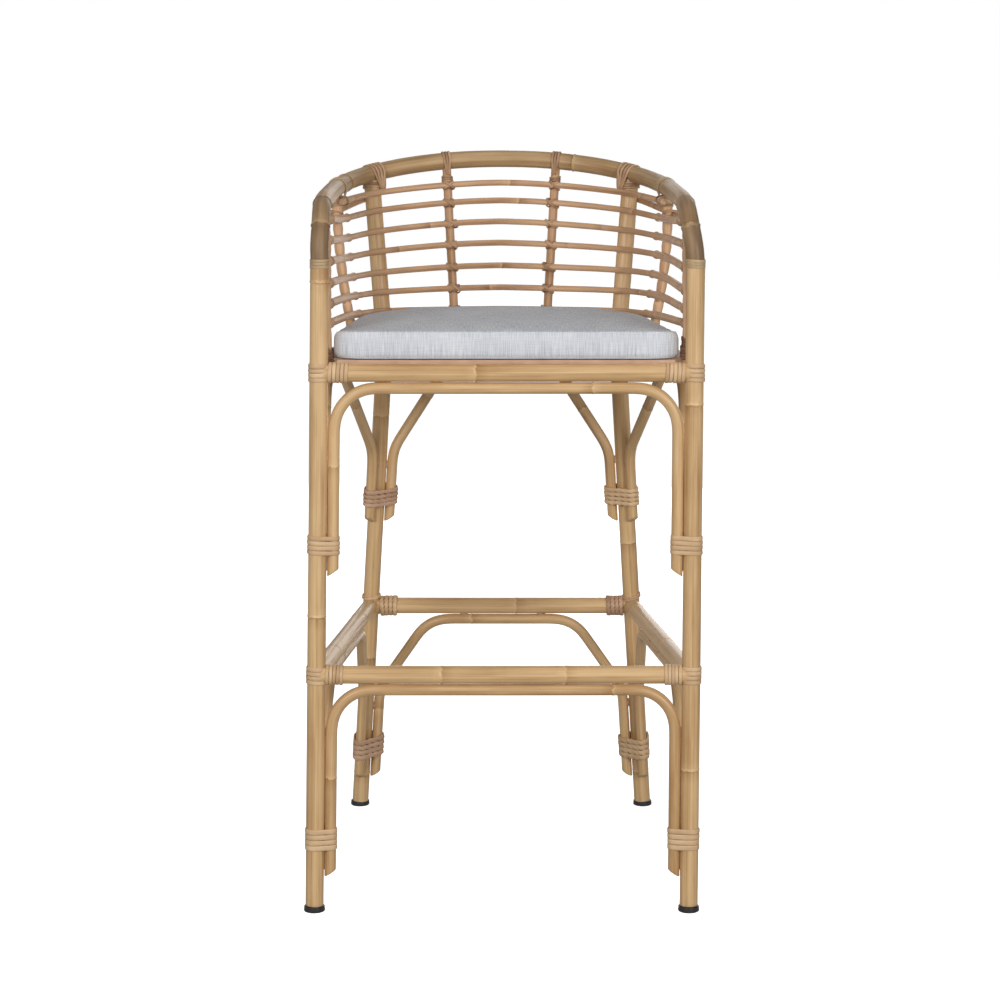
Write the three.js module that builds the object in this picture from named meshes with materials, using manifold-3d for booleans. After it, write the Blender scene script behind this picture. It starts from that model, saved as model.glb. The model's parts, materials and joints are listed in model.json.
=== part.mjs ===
// Rattan bar stool: four pole legs, a wrap-around rim and reed back, straight rails and a footrest frame
// with bent brace bows under every rail, cane bindings, and a loose seat cushion on a plain seat panel.
// Millimetres, +Z up, origin on the floor under the middle of the stool, front of the stool towards -Y.
// Sides are named as seen from the front: left is -X, right is +X.

import * as THREE from "three";
import { mergeVertices } from "three/addons/utils/BufferGeometryUtils.js";
import Module from "manifold-3d";

const wasm = await Module();
wasm.setup();

// ---- Driving dimensions ----

const POLE_R = 12.5; // legs, rails and rim
const BOW_R = 8; // bent brace bows
const POST_R = 6.5; // back and side posts
const REED_R = 4.5; // back reeds and front posts
const CANE = 1.6; // thickness of a wound binding
const GAP = 0.3; // clearance between touching pieces
const BESIDE = 0.5; // clearance between poles that lie side by side
const BINDING_R = POLE_R + GAP + CANE; // outside of a binding on a pole
const SNUG = 0.5; // clearance inside a binding round several poles

const FRONT_Y = -276; // front legs and front rails
const SEAT_RAIL_Z = 749.5;
const FOOT_RAIL_Z = 334.5;
const ARM_Z = 898; // joint of front leg and rim
const KINK_Z = 745; // rear legs change direction at the seat
const RIM_CORNER_Z = 1002; // rim over the rear legs
const RIM_BACK_Z = 1022.5; // rim at the middle of the back

const FRONT_HALF_FLOOR = 259.4; // half spacing of the front legs
const FRONT_HALF_ARM = 251;
const REAR_FLOOR = [225, 276]; // rear leg axis on the floor: half spacing, y
const REAR_KINK = [175, 146.4];
const REAR_TOP = [194.5, 178];

// Bend of the rim from a front leg to the back post: half width, depth behind the front legs and height.
const RIM_BEND = [
  [247.5, 4, 938],
  [246, 24, 962],
  [246, 75, 973],
  [243.5, 180, 980],
  [237, 300, 987],
  [222, 385, 994],
  [194.5, 452, RIM_CORNER_Z],
  [145, 488, 1012],
  [75, 508, 1020],
];
const RIM_BACK_DEPTH = 513; // of the rim's middle
const RIM_START = [-12, 14]; // heights from the arm joint between which the rim runs on along the leg

const BACK_POST_HALF = [68.5, 83.5]; // half spacing of the back posts at seat and rim
const BACK_POST_TOP_DEPTH = 506;
const SIDE_POST_DEPTH = 300;
// Bend of the side posts: half width and height.
const SIDE_POST_BEND = [[215, 757], [224, 805], [232, 855], [237.5, 910], [239, 985]];
const FRONT_POST_TOP = 948;

const GLIDE_R = 14.8;
const GLIDE_H = 8;

const SEAT_HALF = 249; // plan of the bent seat rails: half width, depth and squareness
const SEAT_DEPTH = 474;
const SEAT_SQUARENESS = 3.2;

const PANEL_Z = SEAT_RAIL_Z + POLE_R + GAP;
const PANEL_H = 5;
const PANEL_INSET = 6;
const PANEL_FRONT_HALF = 206; // the panel's front edge lies between the rail bindings
const PANEL_FRONT = [-4, 15]; // depths of that edge and of the ends of its straight sides
const PANEL_DEPTHS = [90, 160, 230, 290, 340, 380, 415]; // where its outline follows the seat rails
const PANEL_BACK_HALVES = [120, 60];
const NOTCH = { leg: 2, post: 1, top: 800 }; // room round legs and posts, and height of the posts' notches

const CUSHION_H = 40.5;
const CUSHION_ROUND = 12;
const CUSHION_OFF = -0.6; // the loose cushion lies a little to the left
// Plan of the cushion, as half widths and depths behind the front legs.
const CUSHION_FRONT = { half: 229.5, corner: 18, depth: -10 };
const CUSHION_SIDE = [204, 300]; // where its sides start to round
const CUSHION_BACK = { pull: [[197, 360], [152, 452]], half: 60, depth: 455 };

const BOW_DROP = POLE_R + BESIDE + BOW_R; // bow axis below rail axis
const BOW_BEND = 55; // bend radius of the bows
const SEAT_BOW = { rail: SEAT_RAIL_Z, shoulder: 585, end: 471, binding: [500, 530] };
const FOOT_BOW = { rail: FOOT_RAIL_Z, shoulder: 197, end: 49, binding: [87, 121] };
// Straight tops of the bows: half width of the back one, and where the side ones start and end.
const SEAT_BOW_TOP = { back: 71, sides: [125, 275] }; // depths
const FOOT_BOW_TOP = { back: 112, sides: [0.24, 0.8] }; // shares of the side rails' length
const RAIL_BINDING = [21.5, 44]; // along a rail, from the leg axis
const JOINT_BINDING_H = 26; // on a leg, round a rail joint
const ARM_BINDING = [-8.5, 3.5]; // round the arm joint
const LEG_BEND = 150; // of the rear legs at the seat

// Poles beside a leg: inwards and backwards from the leg axis.
const BESIDE_ACROSS = [21.3, 0]; // front and back bows
const BESIDE_FRONT = [5, 20.7]; // side bows at the front legs
const BESIDE_REAR = { seat: [-8.5, -19.5], foot: [-3.5, -21] }; // side bows at the rear legs
const BESIDE_TOP = { left: [11.4, 16.4], right: [9.4, 17.6] }; // front posts

const REED_HEIGHTS = [987, 960.5, 929, 897, 863, 830, 797.5]; // seven rows at the middle of the back
// The middle rows are bent unevenly by hand: how far they rise at the rear legs and side posts and drop at
// the front legs, on the left and on the right.
const REED_SWAY = { leg: [0, 3], post: [2, 6], front: [-2, -13] };
// How far the rows lie above their height at the back when they reach each post, at the top and bottom row.
const REED_DIP = { front: [-12, 16], post: [-19.5, 6], leg: [-12.5, 1.5], back: [-3.5, -0.5] };
const REED_FROM_LEG = 12.8; // reed axes pass the rear legs this far inwards and forwards of the leg axis
const REED_END = 2.5; // clearance between a reed's end and the front post
const OUTER_REED = { leg: 962, post: 946, clear: 1.5, front: [246, 38, 938] }; // heights, and its front end


const POLE_SIDES = 14;
const BOW_SIDES = 8;
const REED_SIDES = 8;
const BINDING_SIDES = 12;

// The frame is bound by hand and stands slightly racked: x shift for each mm of height, front and back.
const FRONT_LEAN = 0.0091;
const REAR_LEAN = -0.003;
const LEAN_FADE = 130; // above the arms the rim pulls the frame straight again within this height

// ---- Materials ----

const COLOURS = {
  pole: [0xc9a87a, 0.5],
  bow: [0xc8a578, 0.5],
  rim: [0xb89674, 0.5],
  reed: [0xb6916c, 0.55],
  binding: [0xc7a07c, 0.65],
  panel: [0xa98563, 0.7],
  cushion: [0xcdd2d5, 0.95],
  glide: [0x1c1a19, 0.5],
};

function material(kind) {
  const [color, roughness] = COLOURS[kind];
  return new THREE.MeshStandardMaterial({ color, roughness, metalness: 0 });
}

// ---- Solids ----

function solid(geometry) {
  const bare = geometry.clone();
  bare.deleteAttribute("normal");
  bare.deleteAttribute("uv");
  const merged = mergeVertices(bare, 1e-4);
  return new wasm.Manifold(new wasm.Mesh({
    numProp: 3,
    vertProperties: merged.attributes.position.array,
    triVerts: new Uint32Array(merged.index.array),
  }));
}

function geometryOf(manifold) {
  const mesh = manifold.getMesh();
  const geometry = new THREE.BufferGeometry();
  geometry.setAttribute("position", new THREE.BufferAttribute(mesh.vertProperties, 3));
  geometry.setIndex(new THREE.BufferAttribute(mesh.triVerts, 1));
  return geometry;
}

function cut(geometry, tools) {
  const left = tools.reduce((body, tool) => body.subtract(solid(tool)), solid(geometry));
  return geometryOf(left);
}

// ---- Paths and tubes ----

// A path that is sampled exactly at its stations, so straight stretches cost no faces.
class StationPath extends THREE.Curve {
  constructor(stations) {
    super();
    this.stations = stations;
  }

  getPoint(t, target = new THREE.Vector3()) {
    const place = t * (this.stations.length - 1);
    const i = Math.min(Math.floor(place), this.stations.length - 2);
    return target.lerpVectors(this.stations[i], this.stations[i + 1], place - i);
  }

  getTangent(t, target = new THREE.Vector3()) {
    const i = Math.round(t * (this.stations.length - 1));
    const before = this.stations[Math.max(i - 1, 0)];
    const here = this.stations[i];
    const after = this.stations[Math.min(i + 1, this.stations.length - 1)];
    const incoming = here.clone().sub(before).normalize();
    const outgoing = after.clone().sub(here).normalize();
    return target.addVectors(incoming, outgoing).normalize();
  }

  getUtoTmapping(u) {
    return u;
  }
}

// Stations of a polyline whose corners are rounded with arcs of one bend radius.
function bentStations(corners, radius) {
  const stations = [corners[0]];
  for (let i = 1; i < corners.length - 1; i++) {
    const into = corners[i].clone().sub(corners[i - 1]).normalize();
    const out = corners[i + 1].clone().sub(corners[i]).normalize();
    const turn = into.angleTo(out);
    const reach = radius * Math.tan(turn / 2);
    const start = corners[i].clone().addScaledVector(into, -reach);
    const toCentre = out.clone().addScaledVector(into, -out.dot(into)).normalize();
    const centre = start.clone().addScaledVector(toCentre, radius);
    const steps = Math.max(1, Math.ceil(turn / 0.28));
    for (let k = 0; k <= steps; k++) {
      const angle = (turn * k) / steps;
      stations.push(centre.clone()
        .addScaledVector(toCentre, -radius * Math.cos(angle))
        .addScaledVector(into, radius * Math.sin(angle)));
    }
  }
  stations.push(corners[corners.length - 1]);
  return stations;
}

function tube(stations, radius, sides) {
  const section = new THREE.Shape().absarc(0, 0, radius, 0, 2 * Math.PI);
  return new THREE.ExtrudeGeometry(section, {
    extrudePath: new StationPath(stations),
    steps: stations.length - 1,
    curveSegments: sides / 2,
    bevelEnabled: false,
  });
}

// Radius of a tube that clears a round pole of the given radius on all its flats.
function clear(radius, sides) {
  return (radius + GAP) / Math.cos(Math.PI / sides);
}

function smoothStations(points, count) {
  return new THREE.CatmullRomCurve3(points, false, "centripetal").getSpacedPoints(count);
}

// Convex outline round a set of circles, as for a binding pulled tight round several poles.
function outlineRound(circles, extra) {
  const points = circles.flatMap(({ x, y, r }) => Array.from({ length: BINDING_SIDES }, (_, k) => {
    const angle = (2 * Math.PI * k) / BINDING_SIDES;
    const reach = (r + extra) / Math.cos(Math.PI / BINDING_SIDES);
    return new THREE.Vector2(x + reach * Math.cos(angle), y + reach * Math.sin(angle));
  }));
  points.sort((p, q) => p.x - q.x || p.y - q.y);
  const half = (list) => {
    const hull = [];
    for (const p of list) {
      while (hull.length > 1) {
        const a = hull[hull.length - 2];
        const b = hull[hull.length - 1];
        if ((b.x - a.x) * (p.y - a.y) - (b.y - a.y) * (p.x - a.x) > 1e-6) break;
        hull.pop();
      }
      hull.push(p);
    }
    return hull.slice(0, -1);
  };
  return [...half(points), ...half(points.slice().reverse())];
}

// A binding: a ring of cane round the given circles, along the line from one point to another.
function binding(circles, from, to) {
  const slack = circles.length > 1 ? SNUG : GAP;
  const ring = new THREE.Shape(outlineRound(circles, slack + CANE));
  ring.holes.push(new THREE.Path(outlineRound(circles, slack)));
  const geometry = new THREE.ExtrudeGeometry(ring, { depth: from.distanceTo(to), bevelEnabled: false });
  const axis = to.clone().sub(from).normalize();
  const turn = new THREE.Quaternion().setFromUnitVectors(new THREE.Vector3(0, 0, 1), axis);
  return geometry.applyQuaternion(turn).translate(from.x, from.y, from.z);
}

// ---- Axes of the frame ----

const lerp = THREE.MathUtils.lerp;

function frontLeg(side, z) {
  return new THREE.Vector3(side * lerp(FRONT_HALF_FLOOR, FRONT_HALF_ARM, z / ARM_Z), FRONT_Y, z);
}

function rearLeg(side, z) {
  const low = z < KINK_Z;
  const [from, to] = low ? [REAR_FLOOR, REAR_KINK] : [REAR_KINK, REAR_TOP];
  const t = low ? z / KINK_Z : (z - KINK_Z) / (RIM_CORNER_Z - KINK_Z);
  return new THREE.Vector3(side * lerp(from[0], to[0], t), lerp(from[1], to[1], t), z);
}

function beside(leg, side, [inwards, backwards]) {
  return leg.add(new THREE.Vector3(-side * inwards, backwards, 0));
}

function rearLegStations(side) {
  return bentStations([rearLeg(side, -20), rearLeg(side, KINK_Z), rearLeg(side, RIM_CORNER_Z)], LEG_BEND);
}

// Half width of the seat-rail plan at a distance behind the front legs.
function seatHalf(depth) {
  return SEAT_HALF * (1 - (depth / SEAT_DEPTH) ** SEAT_SQUARENESS) ** (1 / SEAT_SQUARENESS);
}

// Distance of the seat-rail plan behind the front legs at a half width.
function seatDepth(half) {
  return SEAT_DEPTH * (1 - (half / SEAT_HALF) ** SEAT_SQUARENESS) ** (1 / SEAT_SQUARENESS);
}

function onSeatPlan(side, depth, z) {
  return new THREE.Vector3(side * seatHalf(depth), FRONT_Y + depth, z);
}

function rimPoints(side) {
  const bend = RIM_BEND.map(([half, depth, z]) => new THREE.Vector3(side * half, FRONT_Y + depth, z));
  return [...RIM_START.map((height) => frontLeg(side, ARM_Z + height)), ...bend];
}

function rimStations() {
  const middle = new THREE.Vector3(0, FRONT_Y + RIM_BACK_DEPTH, RIM_BACK_Z);
  return smoothStations([...rimPoints(-1), middle, ...rimPoints(1).reverse()], 46);
}

function backPost(side, z) {
  const t = (z - SEAT_RAIL_Z) / (RIM_BACK_Z - SEAT_RAIL_Z);
  const half = lerp(BACK_POST_HALF[0], BACK_POST_HALF[1], t);
  const depth = lerp(seatDepth(BACK_POST_HALF[0]), BACK_POST_TOP_DEPTH, t);
  return new THREE.Vector3(side * half, FRONT_Y + depth, z);
}

function sidePostStations(side) {
  const y = FRONT_Y + SIDE_POST_DEPTH;
  const points = SIDE_POST_BEND.map(([half, z]) => new THREE.Vector3(side * half, y, z));
  return smoothStations(points, 8);
}

function frontPost(side, z) {
  return beside(frontLeg(side, z), side, side < 0 ? BESIDE_TOP.left : BESIDE_TOP.right);
}

// ---- The pieces ----

const stool = new THREE.Group();

// Every piece takes the slight lean of the hand-bound frame.
function leanAt(y, z) {
  const back = (y - FRONT_Y) / (-2 * FRONT_Y);
  const fade = Math.min(1, 1 - (z - ARM_Z) / LEAN_FADE);
  return z * fade * lerp(FRONT_LEAN, REAR_LEAN, back);
}

function add(name, geometry, kind) {
  const shape = geometry.index ? geometry.toNonIndexed() : geometry;
  const p = shape.getAttribute("position");
  for (let i = 0; i < p.count; i++) {
    p.setX(i, p.getX(i) + leanAt(p.getY(i), p.getZ(i)));
  }
  shape.computeVertexNormals();
  const mesh = new THREE.Mesh(shape, material(kind));
  mesh.name = name;
  stool.add(mesh);
}

const SIDES = [["left", -1], ["right", 1]];
const slabBelow = (z) => new THREE.BoxGeometry(900, 900, 60).translate(0, 0, z - 30);
const slabAbove = (z) => new THREE.BoxGeometry(900, 900, 60).translate(0, 0, z + 30);

const frontLegStations = (side) => [frontLeg(side, -20), frontLeg(side, ARM_Z + 20)];
const frontLegTube = (side, radius) => tube(frontLegStations(side), radius, POLE_SIDES);
const rearLegTube = (side, radius) => tube(rearLegStations(side), radius, POLE_SIDES);
const rimTube = (radius) => tube(rimStations(), radius, POLE_SIDES);

// All four legs fattened by the bindings round them, which the rails butt against.
function legTools() {
  const radius = clear(BINDING_R / Math.cos(Math.PI / BINDING_SIDES), POLE_SIDES);
  return [-1, 1].flatMap((side) => [frontLegTube(side, radius), rearLegTube(side, radius)]);
}

function seatRailStations(side) {
  const depths = [0, 60, 120, 180, 240, 300, 345, 380, 405];
  const bend = depths.map((depth) => onSeatPlan(side, depth, SEAT_RAIL_Z));
  const leg = rearLeg(side, SEAT_RAIL_Z);
  return smoothStations([...bend, leg], 13);
}

function backRailStations() {
  const halves = [-140, -100, -50, 0, 50, 100, 140];
  const bend = halves.map((x) => new THREE.Vector3(x, FRONT_Y + seatDepth(Math.abs(x)), SEAT_RAIL_Z));
  return smoothStations([rearLeg(-1, SEAT_RAIL_Z), ...bend, rearLeg(1, SEAT_RAIL_Z)], 12);
}

function addLegs() {
  const floor = slabBelow(GLIDE_H + GAP);
  for (const [word, side] of SIDES) {
    add(`front_leg_${word}`, cut(frontLegTube(side, POLE_R), [floor, slabAbove(ARM_Z)]), "pole");
    const rear = cut(rearLegTube(side, POLE_R), [floor, rimTube(clear(POLE_R, POLE_SIDES))]);
    add(`rear_leg_${word}`, rear, "pole");
  }
}

function addRails() {
  const tools = legTools();
  const straight = (from, to) => cut(tube([from, to], POLE_R, POLE_SIDES), tools);
  const frontSeat = [frontLeg(-1, SEAT_RAIL_Z), frontLeg(1, SEAT_RAIL_Z)];
  const frontFoot = [frontLeg(-1, FOOT_RAIL_Z), frontLeg(1, FOOT_RAIL_Z)];
  add("seat_rail_front", straight(...frontSeat), "pole");
  add("foot_rail_front", straight(...frontFoot), "pole");
  add("foot_rail_back", straight(rearLeg(-1, FOOT_RAIL_Z), rearLeg(1, FOOT_RAIL_Z)), "pole");
  add("seat_rail_back", cut(tube(backRailStations(), POLE_R, POLE_SIDES), tools), "pole");

  // Two rails that meet at one leg are mitred to each other.
  const fat = clear(POLE_R, POLE_SIDES);
  const seatMates = [tube(frontSeat, fat, POLE_SIDES), tube(backRailStations(), fat, POLE_SIDES)];
  const backFoot = [rearLeg(-1, FOOT_RAIL_Z), rearLeg(1, FOOT_RAIL_Z)];
  const footMates = [tube(frontFoot, fat, POLE_SIDES), tube(backFoot, fat, POLE_SIDES)];
  for (const [word, side] of SIDES) {
    const seatRail = tube(seatRailStations(side), POLE_R, POLE_SIDES);
    add(`seat_rail_${word}`, cut(seatRail, [...tools, ...seatMates]), "pole");
    const footRail = tube([frontLeg(side, FOOT_RAIL_Z), rearLeg(side, FOOT_RAIL_Z)], POLE_R, POLE_SIDES);
    add(`foot_rail_${word}`, cut(footRail, [...tools, ...footMates]), "pole");
  }
}

// Corners of a bow from its free end beside one leg up to the end of its straight top.
function bowArm(legAt, side, offset, bow, top) {
  const foot = beside(legAt(side, bow.end), side, offset);
  const shoulder = beside(legAt(side, bow.shoulder), side, offset);
  return [foot, shoulder, top];
}

function addBows(word, bow, backTop, sideTop) {
  const topZ = bow.rail - BOW_DROP;
  const bent = (corners) => tube(bentStations(corners, BOW_BEND), BOW_R, BOW_SIDES);
  const frontArm = (side) => [
    beside(frontLeg(side, bow.end), side, BESIDE_ACROSS),
    beside(frontLeg(side, topZ), side, BESIDE_ACROSS),
  ];
  add(`${word}_bow_front`, bent([...frontArm(-1), ...frontArm(1).reverse()]), "bow");
  const backArm = (side) => bowArm(rearLeg, side, BESIDE_ACROSS, bow, backTop(side, topZ));
  add(`${word}_bow_back`, bent([...backArm(-1), ...backArm(1).reverse()]), "bow");
  for (const [name, side] of SIDES) {
    const [frontTop, rearTop] = sideTop(side, topZ);
    const front = bowArm(frontLeg, side, BESIDE_FRONT, bow, frontTop);
    const rear = bowArm(rearLeg, side, BESIDE_REAR[word], bow, rearTop);
    add(`${word}_bow_${name}`, bent([...front, ...rear.reverse()]), "bow");
  }
}

// Bindings that hold the bow ends to the legs, each pulled round one leg and the two bows beside it.
function addBowBindings(word, bow) {
  const pair = ([inwards, backwards], side) => ({ x: -side * inwards, y: backwards, r: BOW_R });
  const ends = [["front", frontLeg, BESIDE_FRONT], ["back", rearLeg, BESIDE_REAR[word]]];
  for (const [place, legAt, along] of ends) {
    for (const [name, side] of SIDES) {
      const circles = [{ x: 0, y: 0, r: POLE_R }, pair(BESIDE_ACROSS, side), pair(along, side)];
      const [from, to] = bow.binding.map((z) => legAt(side, z));
      add(`${word}_bow_binding_${place}_${name}`, binding(circles, from, to), "binding");
    }
  }
}

function addSeatBows() {
  const half = SEAT_BOW_TOP.back;
  const backTop = (side, z) => new THREE.Vector3(side * half, FRONT_Y + seatDepth(half), z);
  const sideTop = (side, z) => SEAT_BOW_TOP.sides.map((depth) => onSeatPlan(side, depth, z));
  addBows("seat", SEAT_BOW, backTop, sideTop);
}

function addFootBows() {
  const backTop = (side, z) => new THREE.Vector3(side * FOOT_BOW_TOP.back, rearLeg(side, FOOT_RAIL_Z).y, z);
  const sideTop = (side, z) => FOOT_BOW_TOP.sides.map((t) => {
    const p = frontLeg(side, FOOT_RAIL_Z).lerp(rearLeg(side, FOOT_RAIL_Z), t);
    return p.setZ(z);
  });
  addBows("foot", FOOT_BOW, backTop, sideTop);
}

function addPosts() {
  const fat = clear(POLE_R, POLE_SIDES);
  const frontRail = tube([frontLeg(-1, SEAT_RAIL_Z), frontLeg(1, SEAT_RAIL_Z)], fat, POLE_SIDES);
  const tools = [rimTube(fat), tube(backRailStations(), fat, POLE_SIDES), frontRail];
  for (const [word, side] of SIDES) {
    const hoop = tube(seatRailStations(side), fat, POLE_SIDES);
    const back = tube([backPost(side, SEAT_RAIL_Z), backPost(side, RIM_BACK_Z)], POST_R, BOW_SIDES);
    add(`back_post_${word}`, cut(back, tools), "reed");
    const post = tube(sidePostStations(side), POST_R, BOW_SIDES);
    add(`side_post_${word}`, cut(post, [...tools, hoop]), "reed");
    const front = tube([frontPost(side, SEAT_RAIL_Z), frontPost(side, FRONT_POST_TOP)], REED_R, REED_SIDES);
    add(`front_post_${word}`, cut(front, [...tools, hoop]), "reed");
  }
}

// Row heights dip from the middle of the back to the corners; t is 0 at the top row and 1 at the bottom.
const dip = (t, [top, bottom]) => top * (1 - t * t) + bottom * t * t;

function postAt(stations, z) {
  const above = stations.findIndex((p) => p.z >= z);
  const [a, b] = [stations[above - 1], stations[above]];
  return a.clone().lerp(b, (z - a.z) / (b.z - a.z));
}

function reedPoints(side, row) {
  const t = row / (REED_HEIGHTS.length - 1);
  const z = REED_HEIGHTS[row];
  const inside = POST_R + REED_R + BESIDE;
  const sway = (place) => REED_SWAY[place][side < 0 ? 0 : 1] * Math.sin(Math.PI * t ** 1.5);
  const front = frontPost(side, z + lerp(...REED_DIP.front, t) + sway("front"));
  front.y += REED_R + REED_END;
  if (row === 1) front.add(new THREE.Vector3(-side * 2.5, 14, 0)); // it ends inside the bend of the arm
  const post = postAt(sidePostStations(side), z + dip(t, REED_DIP.post) + sway("post"));
  post.x -= side * inside;
  const leg = rearLeg(side, z + dip(t, REED_DIP.leg) + sway("leg"));
  leg.x -= side * REED_FROM_LEG;
  leg.y -= REED_FROM_LEG;
  const back = backPost(side, z + dip(t, REED_DIP.back));
  back.y -= inside + 0.8;
  if (row === 0) front.copy(post).add(new THREE.Vector3(side * 3, -40, 0)); // it ends just past the side post
  return [front, post, leg, back];
}

function addReeds() {
  REED_HEIGHTS.forEach((z, row) => {
    const middle = backPost(1, z);
    middle.x = 0;
    middle.y -= POST_R + REED_R - 3;
    const points = [...reedPoints(-1, row), middle, ...reedPoints(1, row).reverse()];
    add(`back_reed_${row + 1}`, tube(smoothStations(points, 24), REED_R, REED_SIDES), "reed");
  });
}

// The outer twin of the top reed, which runs outside the rear leg and the side post to the arm.
function addOuterReeds() {
  for (const [name, side] of SIDES) {
    const out = REED_R + OUTER_REED.clear;
    const leg = rearLeg(side, OUTER_REED.leg).add(new THREE.Vector3(side * (POLE_R + out), 0, 0));
    const post = postAt(sidePostStations(side), OUTER_REED.post);
    post.x += side * (POST_R + out);
    const [half, depth, z] = OUTER_REED.front;
    const points = [
      leg.clone().add(new THREE.Vector3(-side * 4.5, 13, 1)),
      leg,
      post,
      post.clone().add(new THREE.Vector3(side * 1.5, -150, 0)),
      new THREE.Vector3(side * half, FRONT_Y + depth, z),
    ];
    add(`outer_reed_${name}`, tube(smoothStations(points, 14), REED_R, REED_SIDES), "reed");
  }
}

// Short bindings round single poles: arm joints, and rail joints on the front legs and rail ends.
function addPoleBindings() {
  const around = [{ x: 0, y: 0, r: POLE_R }];
  for (const [name, side] of SIDES) {
    const arm = ARM_BINDING.map((height) => frontLeg(side, ARM_Z + height));
    add(`arm_binding_${name}`, binding(around, ...arm), "binding");
    for (const [word, z] of [["seat", SEAT_RAIL_Z], ["foot", FOOT_RAIL_Z]]) {
      const leg = [-0.5, 0.5].map((share) => frontLeg(side, z + share * JOINT_BINDING_H));
      add(`${word}_joint_binding_${name}`, binding(around, ...leg), "binding");
      const rail = RAIL_BINDING.map((reach) => beside(frontLeg(side, z), side, [reach, 0]));
      add(`${word}_rail_binding_${name}`, binding(around, ...rail), "binding");
    }
  }
}

function addGlides() {
  const edge = [[GLIDE_R - 2, 0], [GLIDE_R, 2], [GLIDE_R, GLIDE_H - 1], [GLIDE_R - 1, GLIDE_H]];
  const profile = [[0, 0], ...edge, [0, GLIDE_H]];
  const points = profile.map(([r, z]) => new THREE.Vector2(r, z));
  const glide = new THREE.LatheGeometry(points, 20).rotateX(Math.PI / 2);
  for (const [name, side] of SIDES) {
    for (const [place, leg] of [["front", frontLeg(side, 0)], ["back", rearLeg(side, 0)]]) {
      add(`glide_${place}_${name}`, glide.clone().translate(leg.x, leg.y, 0), "glide");
    }
  }
}

// The seat panel lies on the rails and is notched round legs, posts and rail bindings.
function addPanel() {
  const front = PANEL_FRONT.map((depth) => new THREE.Vector2(PANEL_FRONT_HALF, depth));
  const depths = [PANEL_FRONT[1], ...PANEL_DEPTHS];
  const side = depths.map((depth) => new THREE.Vector2(seatHalf(depth) - PANEL_INSET, depth));
  const back = PANEL_BACK_HALVES.map((x) => new THREE.Vector2(x, seatDepth(x) - PANEL_INSET));
  const half = [...front, ...side, ...back];
  const mirrored = half.slice().reverse().map((p) => new THREE.Vector2(-p.x, p.y));
  const outline = new THREE.Shape([...half, ...mirrored]);
  const slab = new THREE.ExtrudeGeometry(outline, { depth: PANEL_H, bevelEnabled: false });
  slab.translate(0, FRONT_Y, PANEL_Z);
  const tools = [-1, 1].flatMap((s) => [
    frontLegTube(s, POLE_R + NOTCH.leg),
    rearLegTube(s, POLE_R + NOTCH.leg),
    tube([frontPost(s, SEAT_RAIL_Z), frontPost(s, NOTCH.top)], REED_R + NOTCH.post, REED_SIDES),
    tube([backPost(s, SEAT_RAIL_Z), backPost(s, NOTCH.top)], POST_R + NOTCH.post, BOW_SIDES),
    tube(sidePostStations(s), POST_R + NOTCH.post, BOW_SIDES),
  ]);
  add("seat_panel", cut(slab, tools), "panel");
}

// The loose cushion: narrower towards the back, with rounded back corners and rounded edges.
function addCushion() {
  const r = CUSHION_ROUND;
  const { half, corner, depth } = CUSHION_FRONT;
  const [sideHalf, sideDepth] = CUSHION_SIDE;
  const [[pull1, pullDepth1], [pull2, pullDepth2]] = CUSHION_BACK.pull;
  const outline = new THREE.Shape();
  outline.moveTo(r - half + corner, depth + r);
  outline.lineTo(half - r - corner, depth + r);
  outline.quadraticCurveTo(half - r, depth + r, half - r, depth + r + corner);
  outline.lineTo(sideHalf - r, sideDepth);
  const back = [CUSHION_BACK.half, CUSHION_BACK.depth - r];
  outline.bezierCurveTo(pull1 - r, pullDepth1, pull2, pullDepth2 - r, ...back);
  outline.lineTo(-back[0], back[1]);
  outline.bezierCurveTo(-pull2, pullDepth2 - r, r - pull1, pullDepth1, r - sideHalf, sideDepth);
  outline.lineTo(r - half, depth + r + corner);
  outline.quadraticCurveTo(r - half, depth + r, r - half + corner, depth + r);
  const cushion = new THREE.ExtrudeGeometry(outline, {
    depth: CUSHION_H - 2 * r,
    bevelThickness: r,
    bevelSize: r,
    bevelSegments: 3,
    curveSegments: 6,
  });
  add("seat_cushion", cushion.translate(CUSHION_OFF, FRONT_Y, PANEL_Z + PANEL_H + GAP + r), "cushion");
}

addLegs();
add("rim", cut(rimTube(POLE_R), [slabBelow(ARM_Z + GAP)]), "rim");
addRails();
addSeatBows();
addBowBindings("seat", SEAT_BOW);
addFootBows();
addBowBindings("foot", FOOT_BOW);
addPosts();
addReeds();
addOuterReeds();
addPoleBindings();
addGlides();
addPanel();
addCushion();

export default stool;
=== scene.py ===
"""Looks of a rattan bar stool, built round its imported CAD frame. Metres, +Z up, front towards -Y."""

import json
import math
import zlib

import bpy
import numpy as np
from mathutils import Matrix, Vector
from mathutils.bvhtree import BVHTree


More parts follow.
